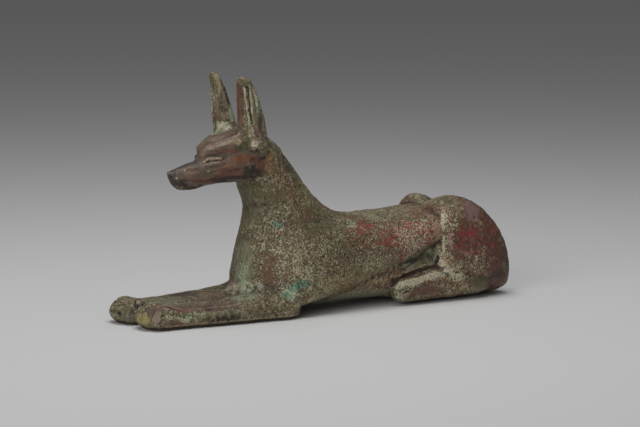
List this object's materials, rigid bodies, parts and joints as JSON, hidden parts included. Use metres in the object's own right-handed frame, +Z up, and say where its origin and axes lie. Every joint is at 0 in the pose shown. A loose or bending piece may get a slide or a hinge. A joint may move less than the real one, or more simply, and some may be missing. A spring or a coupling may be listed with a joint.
{
  "type": "jackal statuette",
  "caption": "Cast bronze statuette of a recumbent jackal with raised head, tall pricked ears and outstretched forelegs, lying flat on a surface.",
  "frame": {"origin": "middle of the bounding box's base, on the surface the figure lies on", "axes": "-X is where the nose points, +Z up, and Y across the body, with the animal's left side at -Y"},
  "size_m": [0.1172, 0.0304, 0.0635],
  "materials": {
    "bronze": "old cast bronze with mottled brown, red and green patina, satin to matt"
  },
  "bodies": {
    "root": {"jackal": "bronze"}
  },
  "joints": []
}
